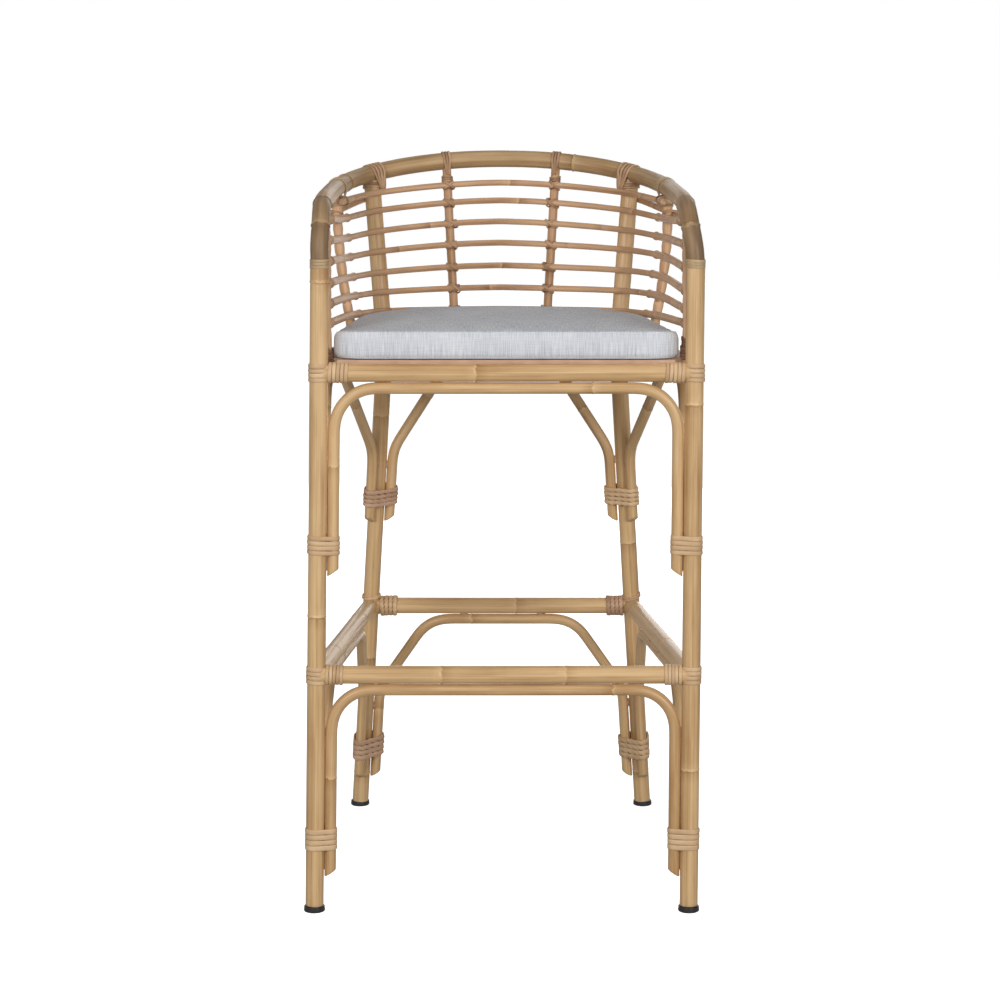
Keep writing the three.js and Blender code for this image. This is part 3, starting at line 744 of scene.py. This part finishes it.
def cane_loop(piece, origin, e1, e2, ellipses, width, tone, thick=CANE, tilt=0.0, phase=0.0, rope=False,
              lift=0.0, gather=0.0):
    """One closed turn of cane round poles whose outlines in the plane of e1 and e2 are the ellipses.
    gather shifts the far end of the turn, at the last ellipse, along the poles."""
    grown = [(x, y, a + thick / 2 + lift, b + thick / 2 + lift) for x, y, a, b in ellipses]
    size = max(a + b for _, _, a, b in grown)
    count = max(28, round(size * math.pi * 1.2 / (1.6 * MM if rope else 2.6 * MM)))
    points, normals = pulled_round(grown, count)
    across = np.cross(e1, e2)
    turn = np.arctan2(points[:, 1], points[:, 0])
    shift = tilt * np.cos(turn - phase)
    if gather:
        far = np.array(ellipses[-1][:2])
        shift = shift + gather * np.clip(points @ far / (far @ far), 0, 1.2)
    centre = origin + points[:, :1] * e1 + points[:, 1:] * e2 + shift[:, None] * across
    out = normals[:, :1] * e1 + normals[:, 1:] * e2
    angle = full_turn(12 if rope else 10)
    c, s = np.cos(angle), np.sin(angle)
    flat = np.sign(c) * abs(c) ** 0.6 * width / 2
    high = np.sign(s) * abs(s) ** 0.75 * thick / 2
    if rope:
        length = 2 * math.pi * size / 2
        twists = round(length / (7 * MM))
        k = np.arange(count)[:, None] / count * 2 * math.pi * twists
        lobes = 1 + 0.2 * np.cos(2 * angle[None] - k)
        flat, high = flat * lobes, high * lobes
    else:
        flat, high = flat[None] + np.zeros((count, 1)), high[None] + np.zeros((count, 1))
    rings = centre[:, None] + flat[..., None] * across + high[..., None] * out[:, None]
    piece.add(rings, closed=True, tone=tone)


def plane_at(axis, s):
    """Point, two directions across a pole and the direction along it."""
    along = axis.along(s)
    reference = off_axis(along)
    e1 = unit(reference - (reference @ along) * along)
    return axis.beyond(s), e1, np.cross(along, e1), along


def wind(piece, node, start, stop, turns, others=(), extra=(), rope=False, thick=CANE, slant=0.5, seed=""):
    """Turns of cane round a pole and the poles beside it.
    extra is (offset, radius) of more round things to take in."""
    axis = AXES[node]
    rng = draws(node + seed + str(round(start, 3)))
    width = abs(stop - start) / turns
    phase = rng.uniform(0, 2 * math.pi)
    for k in range(turns):
        s = start + (stop - start) * (k + 0.5) / turns
        origin, e1, e2, along = plane_at(axis, s)
        ellipses = [(0, 0, axis.radius, axis.radius)]
        for other in others:
            offset = AXES[other].crossing(origin, along) - origin
            ellipses.append((offset @ e1, offset @ e2, AXES[other].radius, AXES[other].radius))
        for offset, radius in extra:
            ellipses.append((offset @ e1, offset @ e2, radius, radius))
        loose = rng.uniform(0.0, 0.25) * MM
        tilt = (slant + rng.uniform(-0.25, 0.25)) * MM
        cane_loop(piece, origin, e1, e2, ellipses, width * rng.uniform(0.9, 0.97), rng.uniform(-1, 1),
                  thick * rng.uniform(0.9, 1.1), tilt, phase, rope, loose)


def lash(piece, post, reed, width=3.6 * MM, spread=0.62, thick=1.5 * MM, seed=""):
    """An X of cane that ties a reed to the post that it crosses: two closed turns, one on each slant."""
    post_axis, reed_axis = AXES[post], AXES[reed]
    on_reed = reed_axis.at(closest(reed_axis, post_axis)[0])
    on_post = post_axis.at(post_axis.near(on_reed))
    up = post_axis.along(post_axis.near(on_reed))
    out = on_reed - on_post
    out -= (out @ up) * up
    gap = np.linalg.norm(out)
    out = out / gap
    level = unit(np.cross(up, out))
    rng = draws(post + reed + seed)
    for turn, sign in enumerate((1, -1)):
        angle = spread + rng.uniform(-0.08, 0.08)
        slanted = unit(math.cos(angle) * level + sign * math.sin(angle) * up)
        ellipses = [
            (0, 0, post_axis.radius / math.cos(angle), post_axis.radius),
            (0, gap, reed_axis.radius / math.sin(angle), reed_axis.radius),
        ]
        cane_loop(piece, on_post, slanted, out, ellipses, width * rng.uniform(0.9, 1.15), rng.uniform(-1, 1),
                  thick, lift=turn * thick * 0.8)


# Run of cane at the ends of rails.
RAIL_WRAP = {"seat_rail_front": 27 * MM, "foot_rail_front": 24 * MM, "foot_rail_back": 26 * MM}


def wrap_rail_end(piece, rail, leg, turns, thick, rope=False):
    """Turns of cane round a rail, from the leg's surface inwards."""
    axis, pole = AXES[rail], AXES[leg]
    middle = axis.at(axis.length / 2)
    s = axis.near(pole.at(pole.near(middle)))
    inward = 1 if s < axis.length / 2 else -1
    start = s + inward * pole.radius
    wind(piece, rail, start, start + inward * RAIL_WRAP[rail], turns, thick=thick, rope=rope, slant=0.8)


def bind(node, pole, turns, trim, material, **how):
    """Replaces one CAD binding by turns of cane over the same stretch of pole, less a trim at both ends."""
    lo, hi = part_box(node)
    middle = AXES[pole].near(np.array(lo + hi) / 2)
    half = (hi.z - lo.z) / 2
    piece = Rings()
    wind(piece, pole, middle - half + trim, middle + half - trim, turns, **how)
    piece.make(node + "_cane", material, [node])


def make_bindings():
    for side in SIDES:
        leg, rear = f"front_leg_{side}", f"rear_leg_{side}"
        bind(f"arm_binding_{side}", leg, 3, 0, KHAKI, thick=0.8 * MM, slant=0.3)
        for level in ("seat", "foot"):
            bind(f"{level}_joint_binding_{side}", leg, 4, 1 * MM, WRAP, thick=1.8 * MM)
            bows = [f"{level}_bow_front", f"{level}_bow_{side}"]
            bind(f"{level}_bow_binding_front_{side}", leg, 4, 2 * MM, WRAP, others=bows, thick=1.8 * MM)
            bows = [f"{level}_bow_back", f"{level}_bow_{side}"]
            trim = 5 * MM if level == "seat" else 4 * MM
            far = PINK if side == "left" else WRAP
            bind(f"{level}_bow_binding_back_{side}", rear, 4, trim, far,
                 others=bows, rope=True, thick=3.4 * MM, slant=1.6)
            piece = Rings()
            wrap_rail_end(piece, f"{level}_rail_front", leg, 5, 1.8 * MM)
            piece.make(f"{level}_rail_binding_{side}_cane", WRAP, [f"{level}_rail_binding_{side}"])
        piece = Rings()
        wrap_rail_end(piece, "foot_rail_back", rear, 4, 3 * MM, rope=True)
        rail = AXES[f"foot_rail_{side}"]
        above = AXES[rear].near(rail.at(rail.length))
        wind(piece, rear, above + 13 * MM, above + 19 * MM, 2, thick=2.2 * MM, rope=True, slant=2)
        piece.make(f"foot_rail_back_wrap_{side}", WRAP if side == "left" else PINK)


for node in AXES:
    make_pole(node)
make_bindings()


REEDS = [f"back_reed_{row}" for row in range(1, 8)]


def make_reed_lashings():
    """An X of cane where a back post crosses each reed, and at the top reeds of each side post."""
    for side in SIDES:
        piece = Rings()
        for reed in REEDS:
            lash(piece, f"back_post_{side}", reed)
        piece.make(f"back_post_{side}_lashings", REED_CANE)
        piece = Rings()
        for reed in (REEDS[0], f"outer_reed_{side}"):
            lash(piece, f"side_post_{side}", reed, width=4 * MM, spread=0.75)
        piece.make(f"side_post_{side}_lashings", REED_CANE)


REED_END_RUN = (1 * MM, 10 * MM)  # stretch of a reed that is wrapped, from its end
# The tangle at a seat corner: start and stop of its turns along their pole, their number, thickness and
# slant, mm. Round the front post they take in slack, given by how far inwards it lies and its radius.
CORNER_POST = ((12, 28, 4, 2.6, 4, (3, 3), True, ""), (10, 32, 3, 2, 9, (1, 4), False, "loose"))
CORNER_RAIL = (12, 34, 4, 2.4, 4)


def make_reed_ends():
    """Two turns of cane where each reed ends at its front post, and dark turns at the corner of the seat,
    whose dark colour is partly painted shade from the cushion above.
    """
    for side in SIDES:
        piece = Rings()
        for reed in REEDS[1:]:
            axis = AXES[reed]
            end, inward = (0.0, 1) if side == "left" else (axis.length, -1)
            start, stop = (end + inward * run for run in REED_END_RUN)
            wind(piece, reed, start, stop, 2, thick=3.2 * MM, slant=1)
        piece.make(f"reed_end_wraps_{side}", REED_CANE)
        piece = Rings()
        post, rail = f"front_post_{side}", f"seat_rail_{side}"
        inward = np.array([-1.0 if side == "right" else 1.0, 0.0, 0.0])
        for start, stop, turns, thick, slant, (off, radius), rope, seed in CORNER_POST:
            slack = [(inward * off * MM, radius * MM)]
            wind(piece, post, start * MM, stop * MM, turns,
                 extra=slack, rope=rope, thick=thick * MM, slant=slant, seed=seed)
        start, stop, turns, thick, slant = CORNER_RAIL
        wind(piece, rail, start * MM, stop * MM, turns, thick=thick * MM, rope=True, slant=slant)
        piece.make(f"seat_corner_wraps_{side}", DARK_SHADED_CANE)


RIM_WRAPS = {  # turns, width of each and drop to the post's top, mm, and turns of the collar
    "back_post": (3, 4.4, 17, 3),
    "rear_leg": (4, 7.5, 21, 3),
    "side_post": (5, 3.3, 17, 2),
}
STRAND = 3.6 * MM  # a collar's turns
GATHER = 0.5  # how much closer together the turns run below the rim than over it


def rim_wrap(post):
    """Cane over the rim that holds a post's top, drawn together below by a collar round the post."""
    turns, pitch, drop, collar = RIM_WRAPS[post.rsplit("_", 1)[0]]
    rim, axis = AXES["rim"], AXES[post]
    rng = draws(post + "wrap")
    s, down = rim.near(axis.points[-1]), -axis.along(axis.length)
    piece = Rings()
    for k in range(turns):
        off = (k - (turns - 1) / 2) * pitch * MM
        origin, e1, e2 = plane_at(rim, s + off)[:3]
        centre = down * drop * MM
        depth = axis.radius + 0.2 * MM
        ellipses = [(0, 0, rim.radius, rim.radius), (centre @ e1, centre @ e2, depth, depth)]
        cane_loop(piece, origin, e1, e2, ellipses, min(pitch * 0.85, 4.8) * MM, rng.uniform(-1, 1),
                  min(2.5, pitch * 0.55) * MM, gather=-off * GATHER)
    below = axis.length - rim.radius - 5 * MM
    wind(piece, post, below - collar * STRAND, below, collar, thick=2.4 * MM, slant=1.8)
    piece.make(f"{post}_rim_wrap", KHAKI if post.startswith("side_post") else REED_CANE)


def make_rim_wraps():
    for post in RIM_WRAPS:
        for side in SIDES:
            rim_wrap(f"{post}_{side}")


TIES = [  # a pole, the thinner one held off it, and the tie's coordinate (1 is y, 2 is z) and its value, mm
    ("rear_leg_{side}", "seat_bow_back", 2, 564),
    ("rear_leg_{side}", "seat_bow_{side}", 2, 561),
    ("rear_leg_{side}", "foot_bow_back", 2, 172),
    ("front_leg_{side}", "foot_bow_{side}", 2, 245),
    ("foot_rail_{side}", "foot_bow_{side}", 1, 20),
    ("foot_rail_{side}", "foot_bow_{side}", 1, -60),
]
BACK_TIES = (-54, 66)  # x of the ties between the back foot rail and its bow, mm
TIE_R = 4.6 * MM


def tie(piece, pole, bow, k, value):
    """A small spool of cane in the gap between two poles."""
    thick, thin = AXES[pole], AXES[bow]
    places = np.nonzero(np.diff(np.sign(thin.points[:, k] - value * MM)))[0]
    place = min(places, key=lambda i: np.min(((thick.points - thin.points[i]) ** 2).sum(1)))
    end = thin.points[place]
    start = thick.at(thick.near(end))
    link = unit(end - start)
    lo, hi = thick.radius - 1 * MM, np.linalg.norm(end - start) - thin.radius + 2 * MM
    e1 = thick.along(thick.near(end))
    e1 = unit(e1 - (e1 @ link) * link)
    turns = max(2, round((hi - lo) / (2.6 * MM)))
    rng = draws(pole + bow + str(value))
    for turn in range(turns):
        origin = start + link * (lo + (hi - lo) * (turn + 0.5) / turns)
        size = TIE_R * rng.uniform(0.9, 1.15)
        cane_loop(piece, origin, e1, np.cross(link, e1), [(0, 0, size, size)], (hi - lo) / turns * 0.95,
                  rng.uniform(-1, 1), 2 * MM, tilt=0.5 * MM)


def make_ties():
    for side in SIDES:
        piece = Rings()
        for pole, bow, k, value in TIES:
            tie(piece, pole.format(side=side), bow.format(side=side), k, value)
        piece.make(f"bow_ties_{side}", PINK)
    piece = Rings()
    for value in BACK_TIES:
        tie(piece, "foot_rail_back", "foot_bow_back", 0, value)
    piece.make("bow_ties_back", PINK)


REED_CANE = cane("reed_cane", colour(204, 166, 128), colour(122, 84, 56))
make_reed_lashings()
make_reed_ends()
make_rim_wraps()
make_ties()


# ---- Glides, panel ----


GLIDE = {"bead": 2.2 * MM, "waist": 0.4 * MM, "edge": 1.2 * MM}  # radii, and how far the waist is let in


def make_glides():
    for place in ("front", "back"):
        for side in SIDES:
            node = f"glide_{place}_{side}"
            lo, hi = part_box(node)
            centre, radius, height = (lo + hi) / 2, (hi.x - lo.x) / 2, hi.z - lo.z
            bead, waist, edge = GLIDE.values()
            arc = np.linspace(0, math.pi / 2, 6)
            profile = [(radius - bead * (1 - math.sin(a)), bead * (1 - math.cos(a))) for a in arc]
            profile += [(radius - waist, height * 0.55)]
            inner = radius - waist - edge
            profile += [(inner + edge * math.cos(a), height - edge * (1 - math.sin(a))) for a in arc]
            angle = full_turn(40)
            piece = Rings()
            piece.add(np.array([
                [(centre.x + r * math.cos(a), centre.y + r * math.sin(a), lo.z + z) for a in angle]
                for r, z in profile
            ]))
            piece.make(node + "_cap", PLASTIC, [node])


# How far the strip ends from the rail's ends, how far it hangs below the panel, and its thickness.
EDGE_STRIP = {"end": 26 * MM, "drop": 1.4 * MM, "thick": 2.4 * MM}


def finish_panel():
    panel = frame["nodes"]["seat_panel"]
    panel.data.materials.clear()
    panel.data.materials.append(BOARD)
    bevel = panel.modifiers.new("edges", "BEVEL")
    bevel.width, bevel.segments, bevel.limit_method = 1.2 * MM, 3, "ANGLE"


def edge_strip():
    """A flat cane strip along the panel's front edge, which lies on the front rail."""
    lo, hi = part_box("seat_panel")
    half = AXES["seat_rail_front"].length / 2 - EDGE_STRIP["end"]
    low, high = lo.z - EDGE_STRIP["drop"], hi.z
    c, s = np.cos(full_turn(12)), np.sin(full_turn(12))
    across = EDGE_STRIP["thick"] / 2 * np.sign(c) * abs(c) ** 0.6
    up = (high - low) / 2 * np.sign(s) * abs(s) ** 0.5
    middle = (lo.x + hi.x) / 2
    rings = [np.stack([np.full(12, x), lo.y + across, (low + high) / 2 + up], 1)
             for x in np.linspace(middle - half, middle + half, 60)]
    piece = Rings()
    piece.add(np.array(rings))
    piece.make("seat_panel_edge", PINK)


make_glides()
finish_panel()
edge_strip()


# ---- Cushion ----

CUSHION_VOXEL = 5 * MM
CUSHION_MOVE = 12 * MM  # cap on how far the filling may push a point
CUSHION_SHIFT = Vector((0.1 * MM, 0, 0))  # the filled cushion lies this far off its CAD place
# Inset and height of the cover's rings, mm.
COVER = ((12, 0.5), (5, 1.5), (2.5, 5), (1.5, 6), (1.5, 27), (2.5, 34), (5, 37.5), (12, 39))
SEAM_R = 0.8 * MM
CUSHION_GROW = 5.6 * MM  # makes up for the corners' rounding and for the cover drawing in as it fills
SEAM_RINGS = (1, 6)  # the places in COVER that are sewn edges
SIDE_DROP = 5 * MM  # how much thinner the cushion is along its sides and back
BACK_DRAW = 9 * MM  # how far its back edge is drawn forward, clear of the lowest reed
BACK_HALF = 0.155  # half its width at the back, for its slope
FRONT_FLAT = 60 * MM  # depth over which the slope starts, from the front


def cushion_outline(inset):
    """Plan of the cushion, its corners rounded, drawn in by the inset."""
    co = np.array([v.co[:2] for v in frame["nodes"]["seat_cushion"].data.vertices])
    corners = [(x, y, 0.1 * MM, 0.1 * MM) for x, y in np.unique(co.round(5), axis=0)]
    points = pulled_round(corners, 420)[0]
    points = smoothed(points, 2, 14)
    return points - outward(points) * (inset - CUSHION_GROW)


def cover_ring(k):
    inset, height = COVER[k]
    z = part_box("seat_cushion")[0].z + height * MM
    return np.array([(x, y, z) for x, y in cushion_outline(inset * MM)])


def sewn_cover():
    """The cushion's cover before it is filled: a flat box with the cushion's plan and soft edges."""
    cover = Rings()
    cover.add(np.array([cover_ring(k) for k in range(len(COVER))]))
    return cover.make("seat_cushion_cover", LINEN, ["seat_cushion"], "cushion")


def slope_sides(points):
    """Lowers the top towards the sides and the back, but not at the front, and draws the back forward."""
    lo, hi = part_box("seat_cushion")
    share = np.clip((points[:, 2] - lo.z) / (hi.z - lo.z), 0, 1)
    half = np.interp(points[:, 1], (lo.y, hi.y), ((hi.x - lo.x) / 2, BACK_HALF))
    side = np.clip(abs(points[:, 0] - (lo.x + hi.x) / 2) / half, 0, 1) ** 3
    back = np.clip((points[:, 1] - lo.y) / (hi.y - lo.y), 0, 1) ** 5
    front = np.clip((points[:, 1] - lo.y) / FRONT_FLAT, 0, 1)
    points[:, 2] -= SIDE_DROP * share * front * np.maximum(side, back)
    points[:, 1] -= BACK_DRAW * back
    return points


def remesh(piece, voxel):
    modifier = piece.modifiers.new("remesh", "REMESH")
    modifier.mode, modifier.voxel_size = "VOXEL", voxel
    apply_modifiers(piece)


def apply_modifiers(piece):
    graph = bpy.context.evaluated_depsgraph_get()
    mesh = bpy.data.meshes.new_from_object(piece.evaluated_get(graph))
    piece.modifiers.clear()
    piece.data = mesh


def fill(piece):
    """Blows the cover up by cloth simulation. The two seams hold, and the panels between them swell."""
    rest = coordinates(piece.data)
    away = np.full(len(rest), 1.0)
    for k in SEAM_RINGS:
        for point in cover_ring(k)[::2]:
            away = np.minimum(away, ((rest - point) ** 2).sum(1))
    hold = np.clip(1.5 - np.sqrt(away) / (5 * MM), 0, 1)
    seam = piece.vertex_groups.new(name="seam")
    for i in np.nonzero(hold > 0)[0]:
        seam.add([int(i)], float(hold[i]), "REPLACE")
    cloth = piece.modifiers.new("fill", "CLOTH")
    settings = cloth.settings
    settings.vertex_group_mass = "seam"
    settings.pin_stiffness = 1.5
    settings.use_pressure = True
    settings.uniform_pressure_force = 4
    settings.effector_weights.gravity = 0
    settings.tension_stiffness = settings.compression_stiffness = 25
    settings.bending_stiffness = 1.5
    cloth.collision_settings.use_self_collision = False
    for number in range(1, 21):
        bpy.context.scene.frame_set(number)
    apply_modifiers(piece)
    shift = coordinates(piece.data) - rest
    length = np.linalg.norm(shift, axis=1)[:, None]
    shift *= np.minimum(1, CUSHION_MOVE / np.maximum(length, 1e-9))
    piece.data.vertices.foreach_set("co", (rest + shift).ravel())


def settle(piece):
    """Gives the filled cushion its sloping sides, and lays it in its place."""
    points = slope_sides(coordinates(piece.data)) + np.array(CUSHION_SHIFT)
    piece.data.vertices.foreach_set("co", points.ravel())


def seam_ridge(name, surface, k):
    """A fine sewn edge that follows the cushion."""
    tree = BVHTree.FromObject(surface, bpy.context.evaluated_depsgraph_get())
    ring = slope_sides(cover_ring(k)) + np.array(CUSHION_SHIFT)
    found = [tree.find_nearest(Vector(point))[:2] for point in ring]
    points = np.array([p for p, _ in found])
    points = smoothed(points, 2, 4)
    tangents = loop_tangents(points)
    out = np.array([n for _, n in found])
    out -= (out * tangents).sum(1)[:, None] * tangents
    out = units(out)
    side = np.cross(tangents, out)
    angle = full_turn(8)[:, None]
    rings = points[:, None] + SEAM_R * (np.cos(angle) * out[:, None] + np.sin(angle) * side[:, None])
    seam = Rings()
    seam.add(rings, closed=True)
    return seam.make(name, LINEN, body="cushion")


def make_cushion():
    cover = sewn_cover()
    remesh(cover, CUSHION_VOXEL)
    fill(cover)
    settle(cover)
    smooth = cover.modifiers.new("smooth", "SUBSURF")
    smooth.levels = smooth.render_levels = 1
    apply_modifiers(cover)
    cover.data.shade_smooth()
    for word, k in zip(("bottom", "top"), SEAM_RINGS):
        seam_ridge(f"seat_cushion_seam_{word}", cover, k)


make_cushion()

# ---- Floor, light and camera ----


def area_light(name, spot, aim, size, power):
    data = bpy.data.lights.new(name, "AREA")
    data.shape, data.size, data.energy = "DISK", size, power
    light = add_object(name, data)
    light.location = spot
    light.rotation_euler = (Vector(aim) - Vector(spot)).to_track_quat("-Z", "Y").to_euler()


# Brightness of the surroundings in reflections and as diffuse light. The camera sees them full white.
GLOSSY_SKY, DIFFUSE_SKY = 0.45, 0.22
FLOOR_HALF = 12
FLOOR_GLOW = 0.85  # evens out the floor and the surroundings, so that no horizon shows


def make_floor():
    mesh = bpy.data.meshes.new("floor")
    corners = [(x * FLOOR_HALF, y * FLOOR_HALF, 0) for x, y in ((-1, -1), (1, -1), (1, 1), (-1, 1))]
    mesh.from_pydata(corners, [], [(0, 1, 2, 3)])
    pale = Shader("floor_white")
    pale.set(Base_Color=(0.92, 0.92, 0.92, 1), Roughness=0.8)
    pale.set(Emission_Color=(1, 1, 1, 1), Emission_Strength=FLOOR_GLOW)
    mesh.materials.append(pale.material)
    floor = add_object("floor", mesh)
    # Its glow doesn't light the stool.
    floor.visible_diffuse = floor.visible_glossy = floor.visible_shadow = False


def make_world():
    world = bpy.data.worlds.new("studio")
    world.use_nodes = True
    tree = world.node_tree
    background = tree.nodes["Background"]
    background.inputs["Color"].default_value = (1, 1, 1, 1)
    seen = tree.nodes.new("ShaderNodeLightPath").outputs
    camera, diffuse = (tree.nodes.new("ShaderNodeMath") for _ in range(2))
    shares = (camera, "Is Camera Ray", 1 - GLOSSY_SKY), (diffuse, "Is Diffuse Ray", DIFFUSE_SKY - GLOSSY_SKY)
    for node, ray, share in shares:
        node.operation = "MULTIPLY_ADD"
        tree.links.new(seen[ray], node.inputs[0])
        node.inputs[1].default_value = share
    camera.inputs[2].default_value = GLOSSY_SKY
    tree.links.new(camera.outputs[0], diffuse.inputs[2])
    tree.links.new(diffuse.outputs[0], background.inputs["Strength"])
    bpy.context.scene.world = world


def make_lights():
    area_light("key_left", (-1.7, -3.6, 1.7), (0, 0, 0.6), 1.5, 66)
    area_light("key_right", (1.9, -3.4, 1.4), (0, 0, 0.6), 1.5, 60)
    area_light("back", (0.6, 3.6, 0.9), (0, 0, 0.6), 2.5, 34)
    area_light("top", (0, -0.6, 3.2), (0, 0, 0.5), 1.5, 7)


def make_camera():
    data = bpy.data.cameras.new("camera")
    data.lens, data.sensor_width = 94.25, 36
    data.clip_end = 60
    camera = add_object("camera", data)
    camera.location = (-2.1 * MM, -3778 * MM, 1115.97 * MM)
    camera.rotation_euler = (math.radians(90 - 8.7618), 0, 0)
    bpy.context.scene.camera = camera


make_floor()
make_world()
make_lights()
make_camera()
bpy.context.scene.view_settings.view_transform = "Standard"
